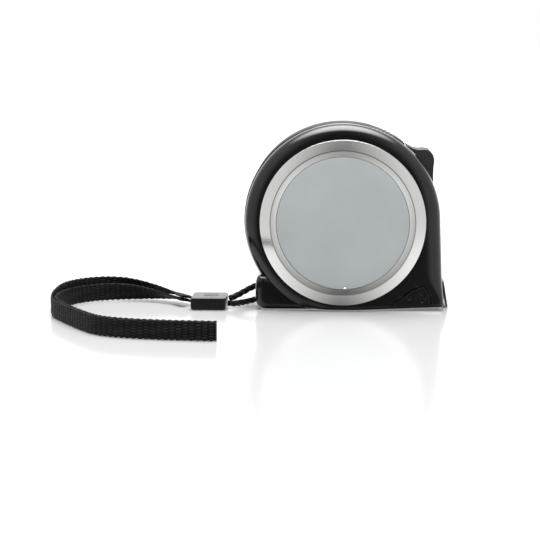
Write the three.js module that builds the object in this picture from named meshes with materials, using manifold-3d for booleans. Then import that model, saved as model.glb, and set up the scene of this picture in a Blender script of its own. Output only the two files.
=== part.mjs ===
// Pocket tape measure with a wrist strap.
// Millimetres, +Z up. X runs along the base towards the mouth and Y from the front face to the back.
// The case is drawn round its drum axis, which lies along Y, and the whole is shifted at the end
// so that the origin is under the middle of the case, on the surface that it stands on.

import * as THREE from 'three';
import { mergeVertices } from 'three/addons/utils/BufferGeometryUtils.js';
import Module from 'manifold-3d';

const wasm = await Module();
wasm.setup();

// Driving dimensions
const GAP = 0.3; // clearance between neighbouring pieces
const ROUND_STEPS = 40; // facets of a large round piece
const ARC_STEP = 7.5; // degrees, the longest facet of an arc round the drum
const CURVE_STEPS = 18; // facets of a curve in an outline

const DRUM_RADIUS = 35.1;
const AXIS_HEIGHT = 31.8;
const HALF_CASE = 17; // from the middle plane to the front or back face
const FACE_FILLET = 4.4; // the wide roll round the front face
const RIM_FILLET = 2.6; // round the back face
const SIDE_WALL = 2.6;
const FACE_WALL = 2.4;

const BASE_KNEE_X = 6; // the base is flat up to here, then rises towards the mouth
const NOSE_X = 36.3;
const NOSE_LIFT = 1.3;
const NOSE_FILLET = 5.5;

const FOOT_X = -31.3;
const FOOT_CORNER = 5.3;
const FOOT_TOP = 12.7;
const FOOT_FILLET = 2.4;
const FOOT_RECESS = 0.9; // how far the foot block's face lies behind the drum's

const BEZEL_RADIUS = 29.6;
const BEZEL_PROUD = 2.4;
const DISC_RADIUS = 23.65;
const SEAT_DEPTH = 0.8;

const BAND_RADIUS = 35.6;
const BAND_DEPTH = 1.2;
const BAND_HALF_WIDTH = 8;
const BAND_FROM = 51; // degrees round the drum axis, from +X towards +Z
const BAND_TO = 211;

const SPINDLE_RADIUS = 3;
const SPINDLE_HALF = 14.3;
const FLANGE_RADIUS = 26.6;
const FLANGE = 0.9;
const CUP_RADIUS = 19;
const CUP_WALL = 1.4;
const COIL_RADIUS = 24;
const SPRING_STRIP = 0.6;
const SPRING_TURNS = 5;

const BLADE_HALF_WIDTH = 9.5;
const BLADE_THICKNESS = 0.3;
const BLADE_SLOPE = THREE.MathUtils.degToRad(2);
const BLADE_CAMBER = 2; // how far the blade's edges curl up beyond the coil
const BLADE_START = 1.2;
const BLADE_END = 35;
const HOOK_THICKNESS = 0.75;
const HOOK_FLOAT = 0.7;
const HOOK_FACE = 36.1; // the hook's outer face, along the blade
const HOOK_LENGTH = 9.65;
const RIVET_PLACES = [28.9, 33.1]; // along the blade
const RIVET_RADIUS = 0.9;

const MOUTH_HALF_WIDTH = 10.6;
const MOUTH_FLOOR = 2.4;
const MOUTH_ROOF = 12.9;

const LOCK_HALF_WIDTH = 6.75;
const STEM_HALF_WIDTH = 3;
const LOCK_STEM = [33, 41]; // degrees round the drum axis
const LOCK_TRAVEL = 8; // degrees that the button slides down the case
const SLIDER_RADII = [30.5, 31.9];
const SLIDER_ARC = [-34.5, 41.5];
const PAD_ARC = [-37.5, -35];

const SCREWS = [[-19.5, 4.2], [27.4, 4.6], [-25.9, 46.8], [9.3, 60.2]]; // X and Z
const SCREW_RADIUS = 1.3;
const SCREW_HEAD = 2.6;
const SCREW_SINK = 2.1; // depth of a screw head's recess
const SCREW_BLIND = -10.5; // where the screw holes end in the front shell
const BOSS_RADIUS = 2.8;
const BOSS_ROOT = 0.5; // how far a boss runs into the wall that it stands on
const SLEEVE_RADIUS = 5.2;
const SLEEVE_END = 11.8;

const CLIP_HALF_WIDTH = 7.5;
const CLIP_SCREW_Z = 52;
const CLIP_SHANK = 1.4;
const CLIP_BOSS_RADIUS = 3.6;
const CLIP_BOSS_END = 11.6;
const CLIP_POCKET_DEPTH = 1.2;

const PIN = [-28.3, 4.6]; // the strap pin, X and Z
const PIN_RADIUS = 1;
const PIN_HALF = 5.5;
const CORD_RADIUS = 1.05;
const BEAD = { x: [-54.6, -41.8], y: [-18, -4.5], z: [0.1, 4.7] };
const WEBBING_WIDTH = 6.5;
const WEBBING_THICKNESS = 1;

// The cord's centreline, from the bead round the strap pin and back
const CORD_ROUTE = [
  [-41, -7.7, 2.9], [-39.2, -6.7, 3.5], [-36.5, -4.8, 4.7], [-33.6, -2.4, 6], [-31, -0.7, 6.8],
  [-28.6, 0, 6.95], [-26.6, 0.1, 6.2], [-25.9, 0.1, 4.6], [-26.6, 0.1, 3], [-28.6, 0, 2.2],
  [-31.2, -1, 1.7], [-34, -4.2, 1.4], [-36.9, -8.6, 1.5], [-39.2, -11.9, 1.7], [-41, -13.3, 2],
];

// The folded webbing's middle line in plan, from the bead round to its fold
const WEBBING_ROUTE = [
  [-56.2, -9.2], [-60.6, -2.4], [-67.6, 2.4], [-75.4, 5], [-83.2, 5.9], [-90.8, 3.6], [-96.6, -1.6],
  [-100.4, -9], [-102.4, -18], [-102.4, -27], [-100, -35.4], [-96.4, -42.6], [-92, -50.6],
  [-87, -59], [-81, -67], [-72.6, -71.8], [-58, -75.2], [-41.2, -77],
];

// Shared shapes

function toSolid(geometry) {
  const bare = geometry.clone();
  bare.deleteAttribute('normal');
  bare.deleteAttribute('uv');
  const merged = mergeVertices(bare, 1e-4);
  const corners = [];
  for (let i = 0; i < merged.index.count; i += 3) {
    const [a, b, c] = [0, 1, 2].map((k) => merged.index.getX(i + k));
    if (a !== b && b !== c && c !== a) corners.push(a, b, c);
  }
  return new wasm.Manifold(new wasm.Mesh({
    numProp: 3,
    vertProperties: Float32Array.from(merged.attributes.position.array),
    triVerts: Uint32Array.from(corners),
  }));
}

function toGeometry(manifold) {
  const mesh = manifold.getMesh();
  const geometry = new THREE.BufferGeometry();
  geometry.setAttribute('position', new THREE.BufferAttribute(mesh.vertProperties, mesh.numProp));
  geometry.setIndex(new THREE.BufferAttribute(mesh.triVerts, 1));
  geometry.computeVertexNormals();
  return geometry;
}

function radians(degrees) {
  return THREE.MathUtils.degToRad(degrees);
}

function outlineOf(points) {
  return new THREE.Shape(points.map(([x, z]) => new THREE.Vector2(x, z)));
}

/** An X-Z outline made solid between two Y stations, with rounded edges if bevel is given. */
function plate(outline, yFront, yBack, bevel = 0) {
  const geometry = new THREE.ExtrudeGeometry(outline, {
    depth: yBack - yFront - 2 * bevel,
    bevelEnabled: bevel > 0,
    bevelThickness: bevel,
    bevelSize: bevel,
    bevelOffset: -bevel,
    bevelSegments: 3,
    curveSegments: CURVE_STEPS,
  });
  geometry.rotateX(Math.PI / 2);
  return geometry.translate(0, yBack - bevel, 0);
}

/** A closed profile of [radius, y] points turned round the Y axis. */
function turned(profile, steps = ROUND_STEPS) {
  return new THREE.LatheGeometry(profile.map(([r, y]) => new THREE.Vector2(r, y)), steps);
}

/** A rod along Y at the place [x, z]. */
function rod([x, z], radius, yFront, yBack, steps = 16) {
  const geometry = new THREE.CylinderGeometry(radius, radius, yBack - yFront, steps);
  return geometry.translate(x, (yFront + yBack) / 2, z);
}

function block([x0, x1], [y0, y1], [z0, z1]) {
  const geometry = new THREE.BoxGeometry(x1 - x0, y1 - y0, z1 - z0);
  return geometry.translate((x0 + x1) / 2, (y0 + y1) / 2, (z0 + z1) / 2);
}

function onDrum(radius, degrees) {
  const angle = radians(degrees);
  return [radius * Math.cos(angle), AXIS_HEIGHT + radius * Math.sin(angle)];
}

/** Points on an arc round the drum axis, in the X-Z plane, between two angles in degrees. */
function arcPoints(radius, from, to) {
  const steps = Math.ceil(Math.abs(to - from) / ARC_STEP);
  return Array.from({ length: steps + 1 }, (_, i) => onDrum(radius, from + ((to - from) * i) / steps));
}

/** Part of a ring round the drum axis between two angles in degrees. */
function ringSector(inner, outer, from, to) {
  return outlineOf([...arcPoints(outer, from, to), ...arcPoints(inner, to, from)]);
}

// Materials

function material(color, roughness, metalness = 0) {
  return new THREE.MeshStandardMaterial({ color, roughness, metalness });
}

const blackPlastic = material(0x17181a, 0.3);
const blackRubber = material(0x2b2b2d, 0.75);
const greyPlastic = material(0x2a2a2c, 0.45);
const silver = material(0xc9cbc8, 0.3, 0.9);
const discGrey = material(0xa3acae, 0.5);
const steel = material(0xb4b6b8, 0.3, 1);
const darkSteel = material(0x232326, 0.4, 0.8);
const bladeYellow = material(0xe0b818, 0.4);
const reelWhite = material(0xd8d4c8, 0.5);
const blackCloth = material(0x101011, 0.95);

const model = new THREE.Group();

function add(parent, name, geometry, finish) {
  const mesh = new THREE.Mesh(geometry, finish);
  mesh.name = name;
  parent.add(mesh);
  return mesh;
}

// The case

/** The drum and nose seen from the front, drawn in by inset on every side. */
function caseOutline(inset) {
  const radius = DRUM_RADIUS - inset;
  const leftEnd = Math.PI + Math.asin((AXIS_HEIGHT - inset) / radius);
  const shape = new THREE.Shape();
  shape.moveTo(BASE_KNEE_X, inset);
  shape.lineTo(NOSE_X - inset, NOSE_LIFT + inset);
  shape.lineTo(radius, AXIS_HEIGHT);
  shape.absarc(0, AXIS_HEIGHT, radius, 0, leftEnd, false);
  return shape;
}

/** The foot block seen from the front. It runs into the drum. */
function footOutline() {
  const shape = new THREE.Shape();
  shape.moveTo(-8, 0);
  shape.lineTo(-8, 4);
  shape.lineTo(-22, FOOT_TOP);
  shape.lineTo(FOOT_X + 0.4, FOOT_TOP);
  shape.lineTo(FOOT_X, FOOT_CORNER + 2);
  shape.absarc(FOOT_X + FOOT_CORNER, FOOT_CORNER, FOOT_CORNER, Math.PI, 1.5 * Math.PI, false);
  return shape;
}

/** What rounds the nose's upright edges: all that lies outside a rounded plan. */
function noseCorners() {
  const r = NOSE_FILLET;
  const plan = new THREE.Shape();
  plan.moveTo(NOSE_X - r, -HALF_CASE - 1);
  plan.lineTo(NOSE_X + 2, -HALF_CASE - 1);
  plan.lineTo(NOSE_X + 2, HALF_CASE + 1);
  plan.lineTo(NOSE_X - r, HALF_CASE + 1);
  plan.absarc(NOSE_X - r, HALF_CASE - r, r, Math.PI / 2, 0, true);
  plan.absarc(NOSE_X - r, -HALF_CASE + r, r, 0, -Math.PI / 2, true);
  const size = { depth: AXIS_HEIGHT + 1, bevelEnabled: false, curveSegments: 5 };
  return toSolid(new THREE.ExtrudeGeometry(plan, size).translate(0, 0, -1));
}

const CORE = 8; // both halves of the drum run past the middle plane, to join
const foot = plate(footOutline(), -HALF_CASE + FOOT_RECESS, HALF_CASE - FOOT_RECESS, FOOT_FILLET);
const outerCase = toSolid(plate(caseOutline(0), -HALF_CASE, CORE, FACE_FILLET))
  .add(toSolid(plate(caseOutline(0), -CORE, HALF_CASE, RIM_FILLET)))
  .subtract(noseCorners())
  .add(toSolid(foot));

const cavity = toSolid(plate(caseOutline(SIDE_WALL), -HALF_CASE + FACE_WALL, HALF_CASE - FACE_WALL))
  .subtract(toSolid(block([30, 40], [-20, -HALF_CASE + 4], [0, 40])))
  .subtract(toSolid(block([30, 40], [HALF_CASE - 4, 20], [0, 40])));

const bandGroove = toSolid(plate(
  ringSector(BAND_RADIUS - BAND_DEPTH - GAP, BAND_RADIUS + 1, BAND_FROM - 0.5, BAND_TO + 0.5),
  -BAND_HALF_WIDTH - GAP,
  BAND_HALF_WIDTH + GAP,
));

const slotArc = [LOCK_STEM[0] - LOCK_TRAVEL - 0.7, LOCK_STEM[1] + 0.7];
const lockSlot = toSolid(plate(
  ringSector(DRUM_RADIUS - SIDE_WALL - 1, DRUM_RADIUS + 1, ...slotArc),
  -STEM_HALF_WIDTH - GAP,
  STEM_HALF_WIDTH + GAP,
));

const mouth = toSolid(block(
  [31, 40],
  [-MOUTH_HALF_WIDTH, MOUTH_HALF_WIDTH],
  [MOUTH_FLOOR, MOUTH_ROOF],
));

const strapRecess = toSolid(rod(PIN, 3.8, -2.6, 2.6, 28))
  .add(toSolid(block([-34, PIN[0]], [-2.6, 2.6], [-1, 8.4])))
  .add(toSolid(block([PIN[0] - 3, PIN[0]], [-2.6, 2.6], [-1, 2])))
  .add(toSolid(rod(PIN, PIN_RADIUS + GAP, -PIN_HALF - GAP, PIN_HALF + GAP)));

const PANEL_DEPTH = 1.6;
const POCKET_OUTLINE = [
  [16.6, 1.7], [21.6, 5.5], [24.8, 8], [28.9, 9.4], [30.8, 7.7], [31.9, 3.9], [31.8, 2.4],
];
const PANEL_OUTLINE = [
  [17.5, 2], [21.8, 5.2], [24.9, 7.6], [28.7, 9], [30.5, 7.5], [31.6, 3.9], [31.5, 2.7],
];
const panelPocket = toSolid(plate(
  outlineOf(POCKET_OUTLINE),
  -HALF_CASE - 1,
  -HALF_CASE + PANEL_DEPTH,
));

const bezelSeat = toSolid(turned([
  [0, -HALF_CASE - 1], [BEZEL_RADIUS + GAP, -HALF_CASE - 1],
  [BEZEL_RADIUS + GAP, -HALF_CASE + SEAT_DEPTH], [0, -HALF_CASE + SEAT_DEPTH],
]).translate(0, 0, AXIS_HEIGHT));

const clipPocket = toSolid(block(
  [-CLIP_HALF_WIDTH - 0.4, CLIP_HALF_WIDTH + 0.4],
  [HALF_CASE - CLIP_POCKET_DEPTH, 20],
  [43.4, 58.6],
));

/** What both shells have cut out of them. */
function cutCommon(body) {
  const cuts = [cavity, bandGroove, lockSlot, mouth, strapRecess];
  return cuts.reduce((left, cut) => left.subtract(cut), body);
}

/** The sleeve that holds one end of the spindle. */
function spindleBoss(yFront, yBack) {
  return toSolid(rod([0, AXIS_HEIGHT], SLEEVE_RADIUS, yFront, yBack, 32));
}

function spindleBore() {
  const half = SPINDLE_HALF + 0.1;
  return toSolid(rod([0, AXIS_HEIGHT], SPINDLE_RADIUS + GAP, -half, half, 28));
}

/** The posts that the case screws run in, cut to the shape of the case. */
function addBosses(shell, yFront, yBack) {
  return SCREWS.reduce(
    (body, place) => body.add(toSolid(rod(place, BOSS_RADIUS, yFront, yBack)).intersect(outerCase)),
    shell,
  );
}

function drill(shell, places, radius, yFront, yBack) {
  return places.reduce(
    (body, place) => body.subtract(toSolid(rod(place, radius, yFront, yBack, 24))),
    shell,
  );
}

const bossRoot = HALF_CASE - FACE_WALL + BOSS_ROOT;

function frontShell() {
  const bare = cutCommon(outerCase).trimByPlane([0, -1, 0], GAP / 2);
  const posts = addBosses(bare, -bossRoot, -GAP / 2).add(spindleBoss(-bossRoot, -SLEEVE_END));
  return drill(posts.subtract(spindleBore()), SCREWS, SCREW_RADIUS + GAP, SCREW_BLIND, 1)
    .subtract(panelPocket)
    .subtract(bezelSeat);
}

function rearShell() {
  const clipScrew = [0, CLIP_SCREW_Z];
  const bare = cutCommon(outerCase).trimByPlane([0, 1, 0], GAP / 2);
  const posts = addBosses(bare, GAP / 2, bossRoot)
    .add(toSolid(rod(clipScrew, CLIP_BOSS_RADIUS, CLIP_BOSS_END, bossRoot)))
    .add(spindleBoss(SLEEVE_END, bossRoot))
    .subtract(spindleBore());
  const drilled = drill(posts, SCREWS, SCREW_RADIUS + GAP, -1, HALF_CASE + 1);
  return drill(drilled, SCREWS, SCREW_HEAD + GAP, HALF_CASE - SCREW_SINK, HALF_CASE + 1)
    .subtract(clipPocket)
    .subtract(toSolid(rod(clipScrew, CLIP_SHANK + GAP, 11, HALF_CASE + 1)));
}

add(model, 'front_shell', toGeometry(frontShell()), blackPlastic);
add(model, 'rear_shell', toGeometry(rearShell()), blackPlastic);

const panelInsert = toSolid(plate(
  outlineOf(PANEL_OUTLINE),
  -HALF_CASE - 1,
  -HALF_CASE + PANEL_DEPTH - GAP,
));
add(model, 'corner_insert', toGeometry(panelInsert.intersect(outerCase)), blackPlastic);

const gripSection = ringSector(BAND_RADIUS - BAND_DEPTH, BAND_RADIUS, BAND_FROM, BAND_TO);
add(model, 'grip_band', plate(gripSection, -BAND_HALF_WIDTH, BAND_HALF_WIDTH), blackRubber);

// The round trim on the front face

const seatFloor = -HALF_CASE + SEAT_DEPTH - GAP;
const trimTop = -HALF_CASE - BEZEL_PROUD;
const front = new THREE.Group();
front.position.z = AXIS_HEIGHT;
model.add(front);

add(front, 'front_bezel', turned([
  [DISC_RADIUS + GAP, seatFloor], [DISC_RADIUS + GAP, trimTop + 0.3], [24.9, trimTop],
  [25.8, trimTop], [26.2, trimTop + 0.3], [BEZEL_RADIUS, -HALF_CASE - 0.5],
  [BEZEL_RADIUS, seatFloor], [DISC_RADIUS + GAP, seatFloor],
]), silver);

add(front, 'front_disc', turned([
  [0, trimTop + 0.2], [DISC_RADIUS, trimTop + 0.2], [DISC_RADIUS, -18], [22.8, -18], [22.8, seatFloor],
  [21.3, seatFloor], [21.3, -18], [0, -18],
]), discGrey);

// Spindle, reel, spring and wound blade

const drive = new THREE.Group();
drive.position.z = AXIS_HEIGHT;
model.add(drive);

const spindleSlot = toSolid(block([-0.5, 0.5], [-8, SPINDLE_HALF + 1], [-5, 5]));
add(
  drive,
  'spindle',
  toGeometry(toSolid(rod([0, 0], SPINDLE_RADIUS, -SPINDLE_HALF, SPINDLE_HALF, 28)).subtract(spindleSlot)),
  steel,
);

const bore = SPINDLE_RADIUS + GAP;
const flangeFace = BLADE_HALF_WIDTH + 0.4;
const cupInside = CUP_RADIUS - CUP_WALL;
add(drive, 'reel', turned([
  [bore, -flangeFace - FLANGE], [FLANGE_RADIUS, -flangeFace - FLANGE], [FLANGE_RADIUS, -flangeFace],
  [CUP_RADIUS, -flangeFace], [CUP_RADIUS, flangeFace - GAP], [cupInside, flangeFace - GAP], [cupInside, -9],
  [bore, -9], [bore, -flangeFace - FLANGE],
]), reelWhite);

add(drive, 'reel_cover', turned([
  [bore, flangeFace], [cupInside - 1.2, flangeFace], [cupInside - 1.2, 8.8], [cupInside - GAP, 8.8],
  [cupInside - GAP, flangeFace], [FLANGE_RADIUS, flangeFace], [FLANGE_RADIUS, flangeFace + FLANGE],
  [bore, flangeFace + FLANGE], [bore, flangeFace],
]), reelWhite);

add(drive, 'blade_coil', turned([
  [CUP_RADIUS + GAP, -BLADE_HALF_WIDTH], [COIL_RADIUS, -BLADE_HALF_WIDTH], [COIL_RADIUS, BLADE_HALF_WIDTH],
  [CUP_RADIUS + GAP, BLADE_HALF_WIDTH], [CUP_RADIUS + GAP, -BLADE_HALF_WIDTH],
], 48), bladeYellow);

/** A spiral strip from just outside the spindle to just inside the cup. */
function mainspring() {
  const first = bore + 0.5;
  const last = cupInside - SPRING_STRIP - 0.4;
  const stepsPerTurn = 18;
  const count = SPRING_TURNS * stepsPerTurn;
  const inner = [];
  const outer = [];
  for (let i = 0; i <= count; i += 1) {
    const angle = (2 * Math.PI * i) / stepsPerTurn;
    const radius = first + ((last - first) * i) / count;
    inner.push([radius * Math.cos(angle), radius * Math.sin(angle)]);
    outer.push([(radius + SPRING_STRIP) * Math.cos(angle), (radius + SPRING_STRIP) * Math.sin(angle)]);
  }
  return plate(outlineOf(inner.concat(outer.reverse())), -8.6, 8.4);
}
add(drive, 'mainspring', mainspring(), steel);

// The straight length of blade, in a frame that starts under the axis and runs along it

const bladeRadius = COIL_RADIUS + GAP + BLADE_THICKNESS / 2;
const run = new THREE.Group();
run.position.set(
  bladeRadius * Math.sin(BLADE_SLOPE),
  0,
  AXIS_HEIGHT - bladeRadius * Math.cos(BLADE_SLOPE),
);
run.rotation.y = -BLADE_SLOPE;
model.add(run);

/** How far the blade's section has curled up at a place along and across it. */
function camberAt(x, y) {
  const grown = THREE.MathUtils.smoothstep(x, 4, 20);
  return BLADE_CAMBER * grown * (y / BLADE_HALF_WIDTH) ** 2;
}

/** A flat strip lying along the blade and bent to its camber. */
function camberedStrip([x0, x1], halfWidth, [z0, z1], xSteps, ySteps) {
  const strip = new THREE.BoxGeometry(x1 - x0, 2 * halfWidth, z1 - z0, xSteps, ySteps, 1);
  strip.translate((x0 + x1) / 2, 0, (z0 + z1) / 2);
  const place = strip.attributes.position;
  for (let i = 0; i < place.count; i += 1) {
    place.setZ(i, place.getZ(i) + camberAt(place.getX(i), place.getY(i)));
  }
  return toSolid(strip);
}

/** A rod standing on the blade, along Z. */
function upright(x, radius, z0, z1, steps = 16) {
  const geometry = new THREE.CylinderGeometry(radius, radius, z1 - z0, steps).rotateX(Math.PI / 2);
  return geometry.translate(x, 0, (z0 + z1) / 2);
}

function bladeTongue() {
  const half = BLADE_THICKNESS / 2;
  return RIVET_PLACES.reduce(
    (blade, x) => blade.subtract(toSolid(upright(x, RIVET_RADIUS + GAP, -1, 1))),
    camberedStrip([BLADE_START, BLADE_END], BLADE_HALF_WIDTH, [-half, half], 10, 8),
  );
}
add(run, 'blade_tongue', toGeometry(bladeTongue()), bladeYellow);

const tabBottom = BLADE_THICKNESS / 2 + GAP;
const tabTop = tabBottom + HOOK_THICKNESS - 0.05;

function hook() {
  const lean = HOOK_LENGTH * Math.tan(radians(7));
  const leg = plate(outlineOf([
    [HOOK_FACE - HOOK_THICKNESS, tabTop], [HOOK_FACE, tabTop],
    [HOOK_FACE + lean, tabTop - HOOK_LENGTH], [HOOK_FACE + lean - HOOK_THICKNESS, tabTop - HOOK_LENGTH],
  ]), -8.5, 8.5);
  const tab = camberedStrip([26.4, HOOK_FACE - 0.2], 5, [tabBottom, tabTop], 2, 4);
  return RIVET_PLACES.reduce((body, x) => {
    const wide = RIVET_RADIUS + GAP;
    return body
      .subtract(toSolid(upright(x, wide, 0, 3)))
      .subtract(toSolid(upright(x - HOOK_FLOAT, wide, 0, 3)))
      .subtract(toSolid(block([x - HOOK_FLOAT, x], [-wide, wide], [0, 3])));
  }, toSolid(leg).add(tab));
}
add(run, 'hook', toGeometry(hook()), darkSteel);

RIVET_PLACES.forEach((x, index) => {
  const profile = [
    [0, -0.9], [1.6, -0.9], [1.6, -BLADE_THICKNESS / 2 - GAP], [RIVET_RADIUS, -BLADE_THICKNESS / 2 - GAP],
    [RIVET_RADIUS, tabTop + GAP], [1.8, tabTop + GAP], [1.3, tabTop + 0.8], [0, tabTop + 0.8],
  ];
  add(run, `hook_rivet_${index + 1}`, turned(profile, 12).rotateX(Math.PI / 2).translate(x, 0, 0), steel);
});

// The lip under the blade at the mouth

add(model, 'mouth_bumper', plate(outlineOf([
  [31.3, 2.7], [36.3, 2.7], [36.7, 3.3], [36.7, 4.4], [36, 6], [34.5, 7.1], [31.3, 7],
]), -10.3, 10.3), blackRubber);

// The blade lock

function lockButton() {
  const sole = DRUM_RADIUS + 0.4;
  const crown = [
    [36.2, 44.5], [37.4, 42], [39.2, 40.2], [39.9, 38.6], [40, 36.4], [39.6, 34], [38.3, 31.6], [36.7, 28.4],
  ]; // radius and degrees
  const shape = outlineOf([...arcPoints(sole, 24, 48.5), ...crown.map((place) => onDrum(...place))]);
  const stem = ringSector(SLIDER_RADII[1] + GAP, sole + 0.5, ...LOCK_STEM);
  return toSolid(plate(shape, -LOCK_HALF_WIDTH, LOCK_HALF_WIDTH))
    .add(toSolid(plate(stem, -STEM_HALF_WIDTH, STEM_HALF_WIDTH)));
}
add(model, 'lock_button', toGeometry(lockButton()), greyPlastic);

const padSection = ringSector(SLIDER_RADII[0] - 1, SLIDER_RADII[1], ...PAD_ARC);
add(model, 'lock_slider', plate(ringSector(...SLIDER_RADII, ...SLIDER_ARC), -4.5, 4.5), greyPlastic);
add(model, 'brake_pad', plate(padSection, -4.5, 4.5), blackRubber);

// Screws

/** A round-headed screw along Y, its head towards the back. */
function screw([x, z], headRadius, headSeat, headHeight, shank, tip) {
  const profile = [
    [0, tip], [shank * 0.5, tip], [shank, tip + 1.5], [shank, headSeat], [headRadius, headSeat],
    [headRadius, headSeat + headHeight * 0.5], [headRadius * 0.7, headSeat + headHeight],
    [0, headSeat + headHeight],
  ];
  return turned(profile, 16).translate(x, 0, z);
}
SCREWS.forEach((place, index) => {
  const shape = screw(place, SCREW_HEAD, HALF_CASE - SCREW_SINK + GAP, 1.5, SCREW_RADIUS, -10);
  add(model, `case_screw_${index + 1}`, shape, steel);
});

// Belt clip on the back

function beltClip() {
  const inner = [
    [16.9, 58], [16.9, 44.5], [19.6, 39], [20, 34], [18.4, 14], [18, 12.4], [18.9, 9.6], [20.8, 7.6],
  ]; // Y and Z
  const outer = [
    [21.4, 8.2], [19.6, 10.1], [18.8, 12.4], [19.2, 14], [20.8, 34], [20.4, 39.3], [17.7, 45], [17.7, 58],
  ];
  const shape = new THREE.Shape(inner.concat(outer).map(([y, z]) => new THREE.Vector2(y, z)));
  const strip = new THREE.ExtrudeGeometry(shape, { depth: 2 * CLIP_HALF_WIDTH, bevelEnabled: false });
  strip.rotateX(Math.PI / 2).rotateZ(Math.PI / 2).translate(-CLIP_HALF_WIDTH, 0, 0);
  return toSolid(strip).subtract(toSolid(rod([0, CLIP_SCREW_Z], CLIP_SHANK + 0.5, 15, 19)));
}
add(model, 'belt_clip', toGeometry(beltClip()), steel);
add(model, 'clip_screw', screw([0, CLIP_SCREW_Z], 3.2, 17.7 + GAP, 1.3, CLIP_SHANK, 12), steel);

// Wrist strap

add(model, 'strap_pin', rod(PIN, PIN_RADIUS, -PIN_HALF, PIN_HALF), steel);

function curveThrough(points) {
  const places = points.map(([x, y, z = 0]) => new THREE.Vector3(x, y, z));
  return new THREE.CatmullRomCurve3(places, false, 'centripetal');
}

function cordTube() {
  const size = { steps: 44, extrudePath: curveThrough(CORD_ROUTE), curveSegments: 4, bevelEnabled: false };
  const section = new THREE.Shape();
  section.absarc(0, 0, CORD_RADIUS, 0, 2 * Math.PI, false);
  return new THREE.ExtrudeGeometry(section, size);
}
add(model, 'strap_cord', toGeometry(toSolid(cordTube())), blackCloth);

function bead() {
  const [x0, x1] = BEAD.x;
  const [z0, z1] = BEAD.z;
  const round = 1.1;
  const shape = new THREE.Shape();
  shape.absarc(x1 - round, z1 - round, round, 0, Math.PI / 2, false);
  shape.absarc(x0 + round, z1 - round, round, Math.PI / 2, Math.PI, false);
  shape.absarc(x0 + round, z0 + round, round, Math.PI, 1.5 * Math.PI, false);
  shape.absarc(x1 - round, z0 + round, round, 1.5 * Math.PI, 2 * Math.PI, false);
  const edge = 0.5;
  const geometry = new THREE.ExtrudeGeometry(shape, {
    depth: BEAD.y[1] - BEAD.y[0] - 2 * edge,
    bevelThickness: edge,
    bevelSize: edge,
    bevelOffset: -edge,
    bevelSegments: 2,
    curveSegments: 2,
  });
  return geometry.rotateX(Math.PI / 2).translate(0, BEAD.y[1] - edge, 0);
}
add(model, 'strap_bead', bead(), greyPlastic);

/** The webbing folded double and standing on its edge: two layers that meet at the fold. */
function webbing() {
  const route = curveThrough(WEBBING_ROUTE);
  const steps = 30;
  const side = (offset, trim) => {
    const line = [];
    for (let i = 0; i <= steps - trim; i += 1) {
      const t = i / steps;
      const along = route.getTangentAt(t);
      const place = route.getPointAt(t);
      line.push(new THREE.Vector2(place.x - along.y * offset, place.y + along.x * offset));
    }
    return line;
  };
  const slit = GAP / 2;
  const skin = slit + WEBBING_THICKNESS;
  const outline = new THREE.Shape([
    ...side(skin, 0), ...side(-skin, 0).reverse(), ...side(-slit, 1), ...side(slit, 1).reverse(),
  ]);
  const geometry = new THREE.ExtrudeGeometry(outline, { depth: WEBBING_WIDTH, bevelEnabled: false });
  return geometry.translate(0, 0, BEAD.z[0]);
}
add(model, 'strap_webbing', webbing(), blackCloth);

// The origin is under the middle of the case, clip and hook
model.position.set(-1.42, -1, 0);

export default model;
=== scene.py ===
"""A pocket tape measure with a wrist strap: its looks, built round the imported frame."""

import math

import bmesh
import bpy
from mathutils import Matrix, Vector


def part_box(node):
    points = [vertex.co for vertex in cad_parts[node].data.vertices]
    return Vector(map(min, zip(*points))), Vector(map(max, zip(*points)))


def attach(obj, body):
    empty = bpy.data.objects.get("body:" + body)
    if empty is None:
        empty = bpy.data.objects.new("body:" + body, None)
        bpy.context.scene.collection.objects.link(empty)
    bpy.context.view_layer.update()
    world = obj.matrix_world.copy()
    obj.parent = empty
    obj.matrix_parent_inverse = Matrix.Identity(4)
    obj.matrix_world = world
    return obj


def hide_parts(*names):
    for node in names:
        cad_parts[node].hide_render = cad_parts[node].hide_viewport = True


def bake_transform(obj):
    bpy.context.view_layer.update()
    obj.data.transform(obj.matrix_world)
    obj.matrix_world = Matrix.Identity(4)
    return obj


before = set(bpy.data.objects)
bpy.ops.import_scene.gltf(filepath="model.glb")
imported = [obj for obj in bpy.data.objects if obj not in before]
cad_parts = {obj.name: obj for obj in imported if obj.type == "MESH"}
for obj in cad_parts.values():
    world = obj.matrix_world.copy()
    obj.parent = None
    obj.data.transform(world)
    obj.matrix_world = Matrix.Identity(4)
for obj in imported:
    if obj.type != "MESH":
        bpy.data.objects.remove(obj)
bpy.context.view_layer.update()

# Places. Shapes are given in millimetres from the drum axis (x), the middle plane (y) and the floor (z).

MM = 0.001
disc_low, disc_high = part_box("front_disc")
AXIS_X = (disc_low.x + disc_high.x) / 2
AXIS_Z = (disc_low.z + disc_high.z) / 2 / MM
MIDDLE_Y = (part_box("front_shell")[0].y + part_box("rear_shell")[1].y) / 2
HALF_CASE = (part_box("rear_shell")[1].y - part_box("front_shell")[0].y) / 2 / MM

DRUM_RADIUS = 35.1
FACE_FILLET = 4.4
RIM_FILLET = 2.6
NOSE_FILLET = 5.5
BASE_FILLET = 1.5
KNEE_X = 6
NOSE_X = 36.3
NOSE_LIFT = 1.3
SEAT_RADIUS = 29.9
SEAT_DEPTH = 0.8
PARTING = 0.15
WALL = 2.6
FACE_WALL = 2.4


def at(x, y, z):
    """A place in metres in the row frame."""
    return Vector((AXIS_X + x * MM, MIDDLE_Y + y * MM, z * MM))


def round_drum(radius, degrees):
    """X and Z of a point at an angle round the drum axis, from +X towards +Z."""
    angle = math.radians(degrees)
    return radius * math.cos(angle), AXIS_Z + radius * math.sin(angle)


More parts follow.
